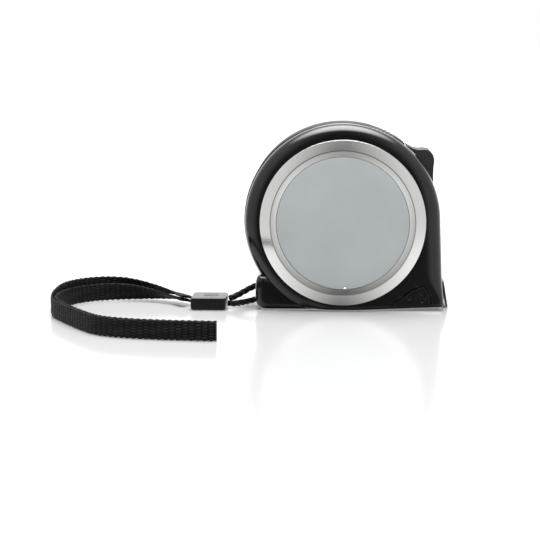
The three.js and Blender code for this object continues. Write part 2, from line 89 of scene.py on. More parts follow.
def smooth(value, low, high):
    """0 below low, 1 above high, and a soft step between them."""
    t = min(max((value - low) / (high - low), 0), 1)
    return t * t * (3 - 2 * t)


# Mesh tools


def show(name, mesh, finish, sharp):
    mesh.materials.clear()
    mesh.materials.append(finish)
    mesh.shade_smooth()
    mesh.set_sharp_from_angle(angle=math.radians(sharp))
    piece = bpy.data.objects.new(name, mesh)
    bpy.context.scene.collection.objects.link(piece)
    return piece


def tidy_mesh(mesh):
    """Joins doubled points, drops loose edges and turns every face outwards."""
    work = bmesh.new()
    work.from_mesh(mesh)
    bmesh.ops.remove_doubles(work, verts=work.verts, dist=2e-7)
    loose = [edge for edge in work.edges if not edge.link_faces]
    bmesh.ops.delete(work, geom=loose, context="EDGES")
    bmesh.ops.recalc_face_normals(work, faces=work.faces)
    work.to_mesh(mesh)
    work.free()


def skin(name, rings, finish, looped=False, sharp=35, relief=None):
    """A skin over closed rings of points. looped joins the last ring to the first, or else both ends
    are capped. relief is a value for each point, which the finish can read."""
    count = len(rings[0])
    points = [place for ring in rings for place in ring]
    faces = []
    for k in range(len(rings) if looped else len(rings) - 1):
        a, b = k * count, (k + 1) % len(rings) * count
        for i in range(count):
            j = (i + 1) % count
            faces.append((a + i, a + j, b + j, b + i))
    if not looped:
        faces.append(tuple(reversed(range(count))))
        faces.append(tuple(range(len(points) - count, len(points))))
    mesh = bpy.data.meshes.new(name)
    mesh.from_pydata(points, [], faces)
    if relief:
        mesh.attributes.new("relief", "FLOAT", "POINT").data.foreach_set("value", relief)
    tidy_mesh(mesh)
    return show(name, mesh, finish, sharp)


def rounded(corners, closed=True, steps=4):
    """A polyline whose corners, each (a, b) or (a, b, radius), are turned into arcs."""
    line = []
    count = len(corners)
    for i, corner in enumerate(corners):
        here = Vector(corner[:2])
        radius = corner[2] if len(corner) > 2 else 0
        if radius == 0 or (not closed and i in (0, count - 1)):
            line.append(here)
            continue
        before = Vector(corners[i - 1][:2]) - here
        after = Vector(corners[(i + 1) % count][:2]) - here
        half_turn = before.angle(after) / 2
        reach = min(radius / math.tan(half_turn), 0.49 * before.length, 0.49 * after.length)
        first = here + before.normalized() * reach
        last = here + after.normalized() * reach
        for k in range(steps + 1):
            t = k / steps
            line.append(first * (1 - t) ** 2 + here * (2 * t * (1 - t)) + last * t**2)
    return line


def inset(corners, depth):
    """The corners of an anticlockwise outline with every side moved in by depth."""
    moved = []
    count = len(corners)
    for i, corner in enumerate(corners):
        before, here, after = (Vector(corners[(i + k) % count][:2]) for k in (-1, 0, 1))
        one = (here - before).normalized()
        two = (after - here).normalized()
        inwards = Vector((-one.y - two.y, one.x + two.x)) / (1 + one.dot(two))
        radius = max(corner[2] - depth, 0.05) if len(corner) > 2 else 0
        place = here + inwards * depth
        moved.append((place.x, place.y, radius) if radius else (place.x, place.y))
    return moved


def across(a, b, along):
    """Puts an outline in the X-Z plane and its thickness along Y."""
    return at(a, along, b)


def slab(name, corners, start, end, edges, finish, put=across, steps=4, sharp=35):
    """An anticlockwise outline made solid from start to end, its edges rounded by edges[0] and edges[1]."""
    rings = []
    for k in range(steps + 1 if edges[0] else 1):
        turn = k / steps * math.pi / 2
        line = rounded(inset(corners, edges[0] * (1 - math.sin(turn))))
        rings.append([put(a, b, start + edges[0] * (1 - math.cos(turn))) for a, b in line])
    for k in reversed(range(steps + 1 if edges[1] else 1)):
        turn = k / steps * math.pi / 2
        line = rounded(inset(corners, edges[1] * (1 - math.sin(turn))))
        rings.append([put(a, b, end - edges[1] * (1 - math.cos(turn))) for a, b in line])
    return skin(name, rings, finish, sharp=sharp)


def turned(name, profile, finish, centre=None, steps=160, sharp=30):
    """A closed profile of (radius, y) points turned round an axis along Y."""
    x0, z0 = centre or (0, AXIS_Z)
    rings = []
    for k in range(steps):
        c, s = math.cos(2 * math.pi * k / steps), math.sin(2 * math.pi * k / steps)
        rings.append([at(x0 + r * c, y, z0 + r * s) for r, y in profile])
    return skin(name, rings, finish, looped=True, sharp=sharp)


def sector(inner, outer, low, high, step=1.5):
    """The corners of part of a ring round the drum axis, between two angles in degrees."""
    count = max(2, math.ceil((high - low) / step))
    angles = [low + (high - low) * k / count for k in range(count + 1)]
    return [round_drum(outer, a) for a in angles] + [round_drum(inner, a) for a in reversed(angles)]


def box_corners(x0, x1, z0, z1, radius=0):
    corners = [(x0, z0), (x1, z0), (x1, z1), (x0, z1)]
    return [(x, z, radius) for x, z in corners] if radius else corners


def bake_modifiers(piece):
    graph = bpy.context.evaluated_depsgraph_get()
    mesh = bpy.data.meshes.new_from_object(piece.evaluated_get(graph))
    piece.modifiers.clear()
    piece.data = mesh


def combine(piece, operation, tools, sharp=35):
    """Cuts the tools out of a piece, or joins them to it, and removes them."""
    for tool in tools:
        change = piece.modifiers.new(operation, "BOOLEAN")
        change.operation = operation
        change.solver = "EXACT"
        change.object = tool
    bake_modifiers(piece)
    for tool in tools:
        bpy.data.objects.remove(tool)
    tidy_mesh(piece.data)
    piece.data.shade_smooth()
    piece.data.set_sharp_from_angle(angle=math.radians(sharp))
    return even_normals(piece)


def even_normals(piece):
    """Weighs normals by area, so that slivers beside a cut don't show on flat and evenly curved faces."""
    even = piece.modifiers.new("even_normals", "WEIGHTED_NORMAL")
    even.keep_sharp = True
    bake_modifiers(piece)
    return piece


def soften(piece, width, segments=2, angle=40):
    """Rounds the edges that a cut has left sharp."""
    bevel = piece.modifiers.new("soften", "BEVEL")
    bevel.width = width * MM
    bevel.segments = segments
    bevel.limit_method = "ANGLE"
    bevel.angle_limit = math.radians(angle)
    bevel.harden_normals = True
    return even_normals(piece)


def finished(piece, body, slot, *nodes):
    """Attaches a piece to the body that it rides on and hides the nodes that it stands for. slot is not used.
    """
    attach(piece, body)
    if nodes:
        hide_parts(*nodes)
    return piece


# Materials


class Nodes:
    """A short way to write a material's node tree."""

    def __init__(self, name):
        self.material = bpy.data.materials.new(name)
        self.material.use_nodes = True
        self.tree = self.material.node_tree
        self.shader = self.tree.nodes["Principled BSDF"]

    def set(self, **values):
        for name, value in values.items():
            self.shader.inputs[name.replace("_", " ")].default_value = value
        return self

    def add(self, kind, inputs=None, **settings):
        node = self.tree.nodes.new(kind)
        for name, value in settings.items():
            setattr(node, name, value)
        for name, value in (inputs or {}).items():
            if isinstance(value, bpy.types.NodeSocket):
                self.tree.links.new(value, node.inputs[name])
            else:
                node.inputs[name].default_value = value
        return node

    def link(self, socket, name):
        self.tree.links.new(socket, self.shader.inputs[name])

    def place(self):
        return self.add("ShaderNodeTexCoord").outputs["Object"]

    def noise(self, scale, detail=3, roughness=0.55, vector=None, stretch=None):
        vector = vector or self.place()
        if stretch:
            vector = self.add("ShaderNodeMapping", {"Vector": vector, "Scale": stretch}).outputs[0]
        inputs = {"Vector": vector, "Scale": scale, "Detail": detail, "Roughness": roughness}
        return self.add("ShaderNodeTexNoise", inputs).outputs["Fac"]

    def between(self, value, low, high, to_low=0.0, to_high=1.0):
        inputs = {"Value": value, 1: low, 2: high, 3: to_low, 4: to_high}
        return self.add("ShaderNodeMapRange", inputs).outputs["Result"]

    def math(self, operation, a, b=0.0):
        return self.add("ShaderNodeMath", {0: a, 1: b}, operation=operation).outputs[0]

    def blend(self, amount, first, second):
        inputs = {"Factor": amount, "A": first, "B": second}
        node = self.add("ShaderNodeMix", data_type="RGBA")
        for socket in node.inputs:
            if socket.name not in inputs or not socket.enabled:
                continue
            value = inputs[socket.name]
            if isinstance(value, bpy.types.NodeSocket):
                self.tree.links.new(value, socket)
            else:
                socket.default_value = value
        return next(out for out in node.outputs if out.enabled)

    def bump(self, height, distance, strength=1.0):
        inputs = {"Height": height, "Distance": distance, "Strength": strength}
        self.link(self.add("ShaderNodeBump", inputs).outputs["Normal"], "Normal")
        return self

    def edge_wear(self, radius=0.0006):
        """High on edges that stick out, where a finish rubs."""
        normal = self.add("ShaderNodeBevel", {"Radius": radius}, samples=4).outputs["Normal"]
        true = self.add("ShaderNodeNewGeometry").outputs["Normal"]
        dot = self.add("ShaderNodeVectorMath", {0: normal, 1: true}, operation="DOT_PRODUCT")
        return self.between(dot.outputs["Value"], 0.995, 0.9)


def grey(value, tint=(1, 1, 1)):
    return (value * tint[0], value * tint[1], value * tint[2], 1)


def moulded_black(name, shade, rough, grain, specular=0.5):
    """Moulded black plastic: fine grain, faint flow marks and dust in its roughness."""
    n = Nodes(name)
    cloud = n.noise(60, 4)
    fine = n.noise(4200, 2)
    n.set(Specular_IOR_Level=specular)
    n.link(n.blend(n.between(cloud, 0.3, 0.7), grey(shade), grey(shade * 1.35)), "Base Color")
    blotch = n.between(n.noise(230, 5), 0.35, 0.75, rough * 0.88, rough * 1.15)
    n.link(blotch, "Roughness")
    n.bump(fine, grain)
    return n.material


def rubber_black(name):
    n = Nodes(name)
    pebble = n.add("ShaderNodeTexVoronoi", {"Vector": n.place(), "Scale": 2300.0}).outputs["Distance"]
    n.set(Specular_IOR_Level=0.35)
    n.link(n.blend(n.between(n.noise(160, 4), 0.3, 0.7), grey(0.012), grey(0.024)), "Base Color")
    n.link(n.between(n.noise(400, 3), 0.3, 0.7, 0.55, 0.75), "Roughness")
    n.bump(pebble, 0.00006)
    return n.material


def round_axis_coordinate(n):
    """Distance from the drum axis in metres, for what is turned round it."""
    moved = n.add(
        "ShaderNodeVectorMath",
        {0: n.place(), 1: (AXIS_X, 0, AXIS_Z * MM)},
        operation="SUBTRACT",
    )
    flat = n.add("ShaderNodeVectorMath", {0: moved.outputs[0], 1: (1, 0, 1)}, operation="MULTIPLY")
    return n.add("ShaderNodeVectorMath", {0: flat.outputs[0]}, operation="LENGTH").outputs["Value"]


def spun_metal(name, shade, rough, tint=(1, 1, 0.985)):
    """Metal with fine concentric lines left by turning."""
    n = Nodes(name)
    radius = round_axis_coordinate(n)
    ring = n.add("ShaderNodeCombineXYZ", {"X": radius})
    lines = n.noise(9000, 2, 0.6, vector=ring.outputs[0])
    cloud = n.noise(90, 3)
    n.set(Metallic=1.0)
    n.link(n.blend(n.between(lines, 0.3, 0.7), grey(shade * 0.93, tint), grey(shade, tint)), "Base Color")
    turned_part = n.between(lines, 0.3, 0.7, rough * 0.85, rough * 1.1)
    hazy_part = n.between(cloud, 0.3, 0.7, 0, 0.05)
    n.link(n.math("ADD", turned_part, hazy_part), "Roughness")
    n.bump(lines, 0.000002)
    return n.material


def brushed_metal(name, shade, rough, stretch, tint=(1, 1, 1)):
    """Metal with fine lines along one direction and softly rubbed edges."""
    n = Nodes(name)
    lines = n.noise(900, 3, 0.6, stretch=stretch)
    n.set(Metallic=1.0)
    worn = n.edge_wear()
    n.link(n.blend(worn, grey(shade, tint), grey(min(shade * 1.5, 0.9), tint)), "Base Color")
    n.link(n.between(lines, 0.3, 0.7, rough * 0.8, rough * 1.25), "Roughness")
    n.bump(lines, 0.000004)
    return n.material


def painted_black(name):
    """Black lacquer on steel: orange peel, and bare metal where the edges rub."""
    n = Nodes(name)
    worn = n.math("MULTIPLY", n.edge_wear(0.0003), n.between(n.noise(1500, 4), 0.5, 0.62))
    n.set(Specular_IOR_Level=0.5)
    n.link(n.blend(worn, grey(0.014), grey(0.42)), "Base Color")
    n.link(worn, "Metallic")
    n.link(n.between(n.noise(300, 4), 0.3, 0.7, 0.28, 0.4), "Roughness")
    n.bump(n.noise(1400, 2), 0.000008)
    return n.material


def disc_grey_paint():
    n = Nodes("disc_grey")
    speck = n.noise(5200, 2)
    base = n.blend(n.between(n.noise(45, 3), 0.3, 0.7), DISC_DARK, DISC_LIGHT)
    n.set(Specular_IOR_Level=0.35)
    n.link(n.blend(n.between(speck, 0.35, 0.65, 0, 0.2), base, grey(0.5, (0.93, 1, 1.01))), "Base Color")
    n.link(n.between(n.noise(140, 4), 0.3, 0.7, 0.5, 0.6), "Roughness")
    n.bump(speck, 0.000006)
    return n.material


def reel_white():
    n = Nodes("reel_plastic")
    mottle = n.between(n.noise(50, 4), 0.3, 0.7)
    n.link(n.blend(mottle, grey(0.6, (1, 0.97, 0.88)), grey(0.7, (1, 0.97, 0.9))), "Base Color")
    n.link(n.between(n.noise(200, 4), 0.3, 0.7, 0.4, 0.55), "Roughness")
    n.bump(n.noise(1800, 2), 0.00001)
    return n.material


def wound_blade():
    """The edge of the wound blade: many thin yellow turns, with painted shade in the narrow gaps between
    them.
    """
    n = Nodes("wound_blade")
    radius = round_axis_coordinate(n)
    turns = n.math("FRACT", n.math("MULTIPLY", radius, 1 / 0.00022))
    gaps_with_painted_shade = n.between(turns, 0.8, 0.9)
    # Painted shade: the gaps between the turns are coloured dark brown, as well as dipped by the bump.
    n.link(n.blend(gaps_with_painted_shade, (0.62, 0.42, 0.02, 1), (0.08, 0.06, 0.02, 1)), "Base Color")
    n.link(n.between(n.noise(300, 3), 0.3, 0.7, 0.35, 0.5), "Roughness")
    n.bump(gaps_with_painted_shade, -0.00004)
    return n.material


def blade_paint():
    """Yellow lacquer with a scale: a line at each millimetre, longer at each fifth and tenth."""
    n = Nodes("blade_lacquer")
    split = n.add("ShaderNodeSeparateXYZ", {"Vector": n.place()})
    along = n.math("SUBTRACT", BLADE_ZERO, split.outputs["X"])
    off_middle = n.math("ABSOLUTE", n.math("SUBTRACT", split.outputs["Y"], MIDDLE_Y))
    from_edge = n.math("SUBTRACT", BLADE_HALF * MM, off_middle)
    ink = None
    for pitch, reach, width in ((0.001, 0.0032, 0.00012), (0.005, 0.0048, 0.00015), (0.01, 0.0068, 0.0002)):
        phase = n.math("PINGPONG", along, pitch / 2)
        near = n.math("LESS_THAN", phase, width)
        line = n.math("MULTIPLY", near, n.math("LESS_THAN", from_edge, reach))
        ink = line if ink is None else n.math("MAXIMUM", ink, line)
    normal = n.add("ShaderNodeNewGeometry").outputs["Normal"]
    upward = n.add("ShaderNodeSeparateXYZ", {"Vector": normal}).outputs["Z"]
    ink = n.math("MULTIPLY", ink, n.math("GREATER_THAN", upward, 0.5))
    base = n.blend(n.between(n.noise(120, 4), 0.3, 0.7), (0.55, 0.34, 0.012, 1), (0.62, 0.4, 0.02, 1))
    n.link(n.blend(ink, base, grey(0.015)), "Base Color")
    n.link(n.between(n.noise(260, 4), 0.3, 0.7, 0.25, 0.38), "Roughness")
    n.set(Coat_Weight=0.3, Coat_Roughness=0.15)
    n.bump(n.noise(900, 3), 0.000006)
    return n.material


def black_cloth(name, shade):
    """Black polypropylene thread: the mesh has its bundles, and this paints shade into the hollows between
    them and adds filaments.
    """
    n = Nodes(name)
    fibre = n.noise(5200, 3, 0.7)
    raised = n.add("ShaderNodeAttribute", attribute_name="relief").outputs["Fac"]
    # Painted shade: where the relief is low, in the hollows of the weave, the colour falls to near black; the
    # fibre noise adds random tone.
    lit = n.math("MULTIPLY", n.between(raised, 0.25, 0.95), n.between(fibre, 0.3, 0.7, 0.6, 1.0))
    n.set(Specular_IOR_Level=0.07)
    n.link(n.blend(lit, grey(shade * 0.06), grey(shade)), "Base Color")
    n.link(n.between(n.noise(900, 3), 0.3, 0.7, 0.5, 0.7), "Roughness")
    n.bump(fibre, 0.00003)
    return n.material


DISC_DARK = grey(0.365, (0.93, 1, 1.01))
DISC_LIGHT = grey(0.405, (0.93, 1, 1.01))
BLADE_HALF = 9.5
BLADE_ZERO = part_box("hook")[1].x

case_black = moulded_black("case_black", 0.0028, 0.14, 0.0000015)
grip_rubber = rubber_black("grip_rubber")
trim_silver = spun_metal("trim_silver", 0.74, 0.17)
disc_grey = disc_grey_paint()
steel = brushed_metal("steel", 0.42, 0.3, (1, 12, 1))
clip_steel = brushed_metal("clip_steel", 0.4, 0.28, (14, 1, 1))
reel_plastic = reel_white()
coil_side = wound_blade()
blade_lacquer = blade_paint()
hook_black = painted_black("hook_black")
button_black = moulded_black("button_black", 0.016, 0.42, 0.000012)
bead_black = moulded_black("bead_black", 0.005, 0.26, 0.000004, 0.4)
cord_cloth = black_cloth("cord_cloth", 0.018)
webbing_cloth = black_cloth("webbing_cloth", 0.021)


# Camera, at the photograph's angle

CAMERA_ELEVATION = math.radians(8.1)
CAMERA_TURN = math.radians(2.0)
CAMERA_DISTANCE = 0.571
CAMERA_LENS = 106.35
AIM = (-0.02734, -0.0189, 0.0149)


def make_camera():
    back = Vector((
        math.sin(CAMERA_TURN) * math.cos(CAMERA_ELEVATION),
        -math.cos(CAMERA_TURN) * math.cos(CAMERA_ELEVATION),
        math.sin(CAMERA_ELEVATION),
    ))
    data = bpy.data.cameras.new("camera")
    data.lens = CAMERA_LENS
    data.clip_start = 0.01
    camera = bpy.data.objects.new("camera", data)
    camera.location = Vector(AIM) + back * CAMERA_DISTANCE
    camera.rotation_mode = "QUATERNION"
    camera.rotation_quaternion = (-back).to_track_quat("-Z", "Y")
    bpy.context.scene.collection.objects.link(camera)
    bpy.context.scene.camera = camera


make_camera()


# Wrist strap: cord, bead and webbing

CORD_RADIUS = 1.05
CORD_STEP = 0.16
CORD_SIDES = 40
STRANDS = 3
STRAND_PITCH = 8.4
CORD_ROUTE = [
    (-41, -7.7, 2.9), (-39.2, -6.7, 3.5), (-36.5, -4.8, 4.7), (-33.6, -2.4, 6), (-31, -0.7, 6.8),
    (-28.6, 0, 6.95), (-26.6, 0.1, 6.2), (-25.9, 0.1, 4.6), (-26.6, 0.1, 3), (-28.6, 0, 2.2),
    (-31.2, -1, 1.7), (-34, -4.2, 1.4), (-36.9, -8.6, 1.5), (-39.2, -11.9, 1.7), (-41, -13.3, 2),
]
WEBBING_ROUTE = [
    (-56.2, -9.2), (-60.6, -2.4), (-67.6, 2.4), (-75.4, 5), (-83.2, 5.9), (-90.8, 3.6), (-96.6, -1.6),
    (-100.4, -9), (-102.4, -18), (-102.4, -27), (-100, -35.4), (-96.4, -42.6), (-92, -50.6),
    (-87, -59), (-81, -67), (-72.6, -71.8), (-58, -75.2), (-41.2, -77),
]
WEBBING_WIDTH = 6.5
WEBBING_LAYER = 1.0
LAYER_OFFSET = 0.66
BEAD_X = (-54.6, -41.8)
BEAD_Y = (-18, -4.5)
BEAD_Z = (0.1, 4.7)
MOUTH_Z = 2.4
STRAP_BOTTOM = 0.1


def curve_through(points, step):
    """Points a step apart, in millimetres, on a smooth curve through the given points."""
    places = [Vector(p) for p in points]
    places = [2 * places[0] - places[1]] + places + [2 * places[-1] - places[-2]]
    fine = []
    for a, b, c, d in zip(places, places[1:], places[2:], places[3:]):
        knots = [0.0]
        for p, q in ((a, b), (b, c), (c, d)):
            knots.append(knots[-1] + math.sqrt((q - p).length))
        for k in range(24):
            t = knots[1] + (knots[2] - knots[1]) * k / 24
            level = [a, b, c, d]
            for order in (1, 2, 3):
                level = [
                    mix(level[i], level[i + 1], t, *knot_span(knots, i, order))
                    for i in range(len(level) - 1)
                ]
            fine.append(level[0])
    fine.append(places[-2])
    lengths = [0.0]
    for p, q in zip(fine, fine[1:]):
        lengths.append(lengths[-1] + (q - p).length)
    count = round(lengths[-1] / step)
    line, k = [], 0
    for i in range(count + 1):
        want = lengths[-1] * i / count
        while k < len(fine) - 2 and lengths[k + 1] < want:
            k += 1
        share = (want - lengths[k]) / (lengths[k + 1] - lengths[k])
        line.append(fine[k].lerp(fine[k + 1], min(max(share, 0), 1)))
    return line


def knot_span(knots, i, order):
    """The knots between which one step of the curve's pyramid mixes."""
    if order == 1:
        return knots[i], knots[i + 1]
    if order == 2:
        return knots[i], knots[i + 2]
    return knots[1], knots[2]


def mix(p, q, t, low, high):
    return p * ((high - t) / (high - low)) + q * ((t - low) / (high - low))


def frames_along(line):
    """At each point of a line: the point, its tangent, and two directions across it that don't twist."""
    tangents = []
    for i in range(len(line)):
        ahead, behind = line[min(i + 1, len(line) - 1)], line[max(i - 1, 0)]
        tangents.append((ahead - behind).normalized())
    side = tangents[0].cross(Vector((0, 0, 1))).normalized()
    frames = []
    for place, tangent in zip(line, tangents):
        side = (side - tangent * side.dot(tangent)).normalized()
        frames.append((place, tangent, side, tangent.cross(side)))
    return frames


def braid(turn, along):
    """Height, 0 to 1, of a cord's laid strands, each made of finer yarns that run the other way."""
    strand = abs(math.cos(STRANDS / 2 * (turn - 2 * math.pi * along / STRAND_PITCH)))
    yarn = 0.5 + 0.5 * math.cos(8 * (turn + 2 * math.pi * along / STRAND_PITCH))
    return (0.86 * strand + 0.14 * yarn) ** 0.8


def make_cord():
    line = curve_through(CORD_ROUTE, CORD_STEP)
    rings = []
    relief = []
    for k, (place, _, side, up) in enumerate(frames_along(line)):
        ring = []
        for i in range(CORD_SIDES):
            turn = 2 * math.pi * i / CORD_SIDES
            height = braid(turn, CORD_STEP * k)
            radius = CORD_RADIUS * (0.74 + 0.36 * height)
            ring.append(at(*(place + (side * math.cos(turn) + up * math.sin(turn)) * radius)))
            relief.append(height)
        rings.append(ring)
    cord = skin("strap_cord_braid", rings, cord_cloth, sharp=60, relief=relief)
    path = [at(*place) for place in line[::6]] + [at(*line[-1])]
    finished(cord, "case", "strap_cloth", "strap_cord")
    return cord, path


def make_bead():
    """The clamp: a rounded block with two slots in its top and a hole for each strand of cord."""
    (x0, x1), (y0, y1), (z0, z1) = BEAD_X, BEAD_Y, BEAD_Z
    bead = slab("strap_clamp", box_corners(x0, x1, z0, z1, 1.1), y0, y1, (0.55, 0.55), bead_black)
    slots = [
        slab("slot", box_corners(x0 + 4.6, x1 - 3, z1 - 0.6, z1 + 1), y, y + 0.9, (0, 0), bead_black)
        for y in (y0 + 4.6, y0 + 8.2)
    ]
    holes = [
        slab("hole", circle_corners(CORD_RADIUS + 0.25), x1 - 1.6, x1 + 1, (0, 0), bead_black,
             put=lambda a, b, along, y=y, z=z: at(along, y + a, z + b))
        for y, z in (CORD_ROUTE[0][1:], CORD_ROUTE[-1][1:])
    ]
    mouth = slab("mouth", box_corners(-3.7, 3.7, -1.3, 1.3), x0 - 1, x0 + 1.4, (0, 0), bead_black,
                 put=lambda a, b, along: at(along, WEBBING_ROUTE[0][1] + a, MOUTH_Z + b))
    combine(bead, "DIFFERENCE", slots + holes + [mouth])
    return finished(soften(bead, 0.12), "case", "strap_cloth", "strap_bead")


def circle_corners(radius, count=24):
    turns = [2 * math.pi * k / count for k in range(count)]
    return [(radius * math.cos(turn), radius * math.sin(turn)) for turn in turns]


TWIST_LENGTH = 42.0
COLUMN = 2.15
DASH = 0.93
RELIEF = 0.3
SELVEDGE = 0.28
WEAVE_STEP = 0.36
ACROSS_STEPS = 34
FLAT_TURN = math.radians(78)
CLAMP_LIFT = 1.2
FLAT_LIFT = 0.9
OUTER_RISE = 2.3
OPENING = 0.8


def webbing_middle(step):
    """The folded strap's middle line, on the floor; webbing_height lifts it into the clamp where it turns
    flat.
    """
    return curve_through([(x, y, 0) for x, y in WEBBING_ROUTE], step)


def webbing_set(distance):
    """At a distance from the clamp: how far the strap leans over, from 0, on its edge, to 1, flat."""
    return 1 - smooth(distance, 2, TWIST_LENGTH)


def weave(along, over):
    """Height, 0 to 1, of the woven dashes at a place along and across the webbing."""
    column = math.floor(along / COLUMN)
    u = along / COLUMN - column
    rows = over / DASH + 0.5 * (column % 2) + 0.07 * math.sin(1.7 * column)
    v = rows % 1
    uneven = 0.86 + 0.14 * math.sin(12.9 * column + 7.8 * math.floor(rows))
    return uneven * max(0, 1 - (2 * v - 1) ** 2) ** 0.6 * max(0, 1 - (2 * u - 1) ** 4) ** 0.6


def webbing_height(distance):
    """How high the strap's middle line lies, as it turns from flat at the clamp onto its edge."""
    flat = webbing_set(distance)
    lean = flat * FLAT_TURN
    return STRAP_BOTTOM + WEBBING_WIDTH / 2 * math.cos(lean) + FLAT_LIFT * math.sin(lean) + CLAMP_LIFT * flat


def webbing_layer(middle_frame, distance, side, spread):
    """One layer's centre, its direction across and its face's direction, at a place along the strap."""
    place, tangent, _, _ = middle_frame
    lean = webbing_set(distance) * FLAT_TURN
    level = Vector((-tangent.y, tangent.x, 0)).normalized()
    wide = Vector((0, 0, 1)) * math.cos(lean) + level * math.sin(lean)
    thick = level * math.cos(lean) - Vector((0, 0, 1)) * math.sin(lean)
    raised = OUTER_RISE * smooth(distance, 18, 42) * (1 - smooth(distance, 54, 84)) if side < 0 else 0
    centre = place + thick * (LAYER_OFFSET + OPENING * spread) * side
    return centre + Vector((0, 0, webbing_height(distance) + raised)), wide, thick * side


def layer_ring(centre, wide, thick, along):
    """The woven section of one layer: both faces in relief, a bumpy edge on each side, and each
    point's height in the weave."""
    half = WEBBING_WIDTH / 2
    bump = 1 - (2 * ((along / COLUMN) % 1) - 1) ** 2
    ring = []
    heights = []
    for face in (1, -1):
        for i in range(ACROSS_STEPS + 1):
            over = face * (2 * i / ACROSS_STEPS - 1)
            raised = weave(along + (COLUMN if face < 0 else 0), (over + 1) * half)
            reach = over * (half - SELVEDGE * (1 - bump) * abs(over) ** 6)
            lift = (WEBBING_LAYER / 2 - RELIEF * (1 - raised)) * (1 - 0.55 * abs(over) ** 14)
            ring.append(at(*(centre + wide * reach + thick * lift * face)))
            heights.append(raised)
    return ring, heights


def make_webbing():
    """Both layers of the folded strap as one skin, from the clamp to the fold and back."""
    middle = webbing_middle(WEAVE_STEP)
    frames = frames_along(middle)
    length = len(frames) * WEAVE_STEP
    order = [(k, 1) for k in range(len(frames))] + [(k, -1) for k in reversed(range(len(frames)))]
    rings = []
    relief = []
    for number, (k, side) in enumerate(order):
        distance = k * WEAVE_STEP
        ends = smooth(distance, 0, 6) * (1 - smooth(distance, length - 3, length))
        spread = math.sin(math.pi * min(distance / 70, 1)) ** 2 * ends
        centre, wide, thick = webbing_layer(frames[k], distance, side, spread)
        ring, heights = layer_ring(centre, wide, thick, number * WEAVE_STEP)
        rings.append(ring)
        relief += heights
    webbing = skin("strap_webbing_weave", rings, webbing_cloth, sharp=70, relief=relief)
    finished(webbing, "case", "strap_cloth", "strap_webbing")
    path = [
        at(middle[k].x, middle[k].y, webbing_height(k * WEAVE_STEP)) for k in range(0, len(middle), 8)
    ]
    return webbing, path


cord, cord_path = make_cord()
bead = make_bead()
webbing, webbing_path = make_webbing()


# Case


def case_stations():
    """Places round the drum and nose, each with how much of the wide nose fillet it takes, from 0 to 1."""
    stations = [("arc", k / 130) for k in range(130)]
    stations += [("left", k / 10) for k in range(10)]
    stations += [("base", k / 16) for k in range(16)]
    stations += [("corner", k / 4) for k in range(4)]
    stations += [("upright", k / 22) for k in range(22)]
    return stations


CORNER_ROUND = 0.9


def case_place(kind, t, fillet, rolled):
    """X and Z of a station once its edge has rolled in by a share of its own fillet, and that fillet."""
    flat = BASE_FILLET * rolled
    knee = Vector((KNEE_X, flat))
    corner = Vector((NOSE_X - flat, NOSE_LIFT + flat))
    deep = fillet * rolled
    end = 180 + math.degrees(math.asin((AXIS_Z - deep) / (DRUM_RADIUS - deep)))
    if kind == "arc":
        angle = t * end
        own = NOSE_FILLET + (fillet - NOSE_FILLET) * smooth(angle, 0, 42)
        return (*round_drum(DRUM_RADIUS - own * rolled, angle), own)
    if kind == "left":
        left = round_drum(DRUM_RADIUS - deep, end)[0]
        own = fillet + (BASE_FILLET - fillet) * smooth(t, 0, 0.5)
        return left + (KNEE_X - left) * t, own * rolled, own
    foot = corner - (corner - knee).normalized() * CORNER_ROUND
    start = corner + Vector((DRUM_RADIUS - NOSE_X, AXIS_Z - NOSE_LIFT)).normalized() * CORNER_ROUND
    if kind == "base":
        place = knee.lerp(foot, t)
        return place.x, place.y, BASE_FILLET
    if kind == "corner":
        place = foot * (1 - t) ** 2 + corner * (2 * t * (1 - t)) + start * t**2
        return place.x, place.y, BASE_FILLET
    height = start.y + (AXIS_Z - start.y) * t
    own = BASE_FILLET + (NOSE_FILLET - BASE_FILLET) * smooth(height, start.y, 13)
    side = NOSE_X + (DRUM_RADIUS - NOSE_X) * (height - NOSE_LIFT) / (AXIS_Z - NOSE_LIFT)
    return side - own * rolled, height, own


def case_ring(fillet, rolled, depth_of):
    """One ring round the case. depth_of gives a point's depth from its own fillet."""
    ring = []
    for kind, t in case_stations():
        x, z, own = case_place(kind, t, fillet, rolled)
        ring.append((x, depth_of(own), z))
    return ring


def circle_ring(like, radius, y):
    """A ring on a circle round the drum axis whose points face those of another ring."""
    ring = []
    for x, _, z in like:
        reach = math.hypot(x, z - AXIS_Z)
        ring.append((x / reach * radius, y, AXIS_Z + (z - AXIS_Z) / reach * radius))
    return ring


def half_case(name, side, fillet, finish):
    """One shell's outside: side is -1 at the front and 1 at the back."""
    steps = 12
    rolls = []
    for k in range(steps + 1):
        turn = k / steps * math.pi / 2
        rolls.append(case_ring(
            fillet, 1 - math.sin(turn),
            lambda own, turn=turn: side * (HALF_CASE - own * (1 - math.cos(turn))),
        ))
    edge = rolls[0]
    floor = side * (HALF_CASE - (SEAT_DEPTH if side < 0 else 0))
    rings = [circle_ring(edge, SEAT_RADIUS - 8, floor), circle_ring(edge, SEAT_RADIUS - 0.01, floor)]
    rim = circle_ring(edge, SEAT_RADIUS, side * HALF_CASE)
    for share in (0, 0.25, 0.5, 0.75):
        rings.append([tuple(Vector(p).lerp(Vector(q), share)) for p, q in zip(rim, edge)])
    rings += rolls
    rings.append(case_ring(0.3, 0, lambda own: side * (PARTING + 0.25)))
    rings.append(case_ring(0.3, 0.75, lambda own: side * PARTING))
    return skin(name, [[at(*place) for place in ring] for ring in rings], finish)


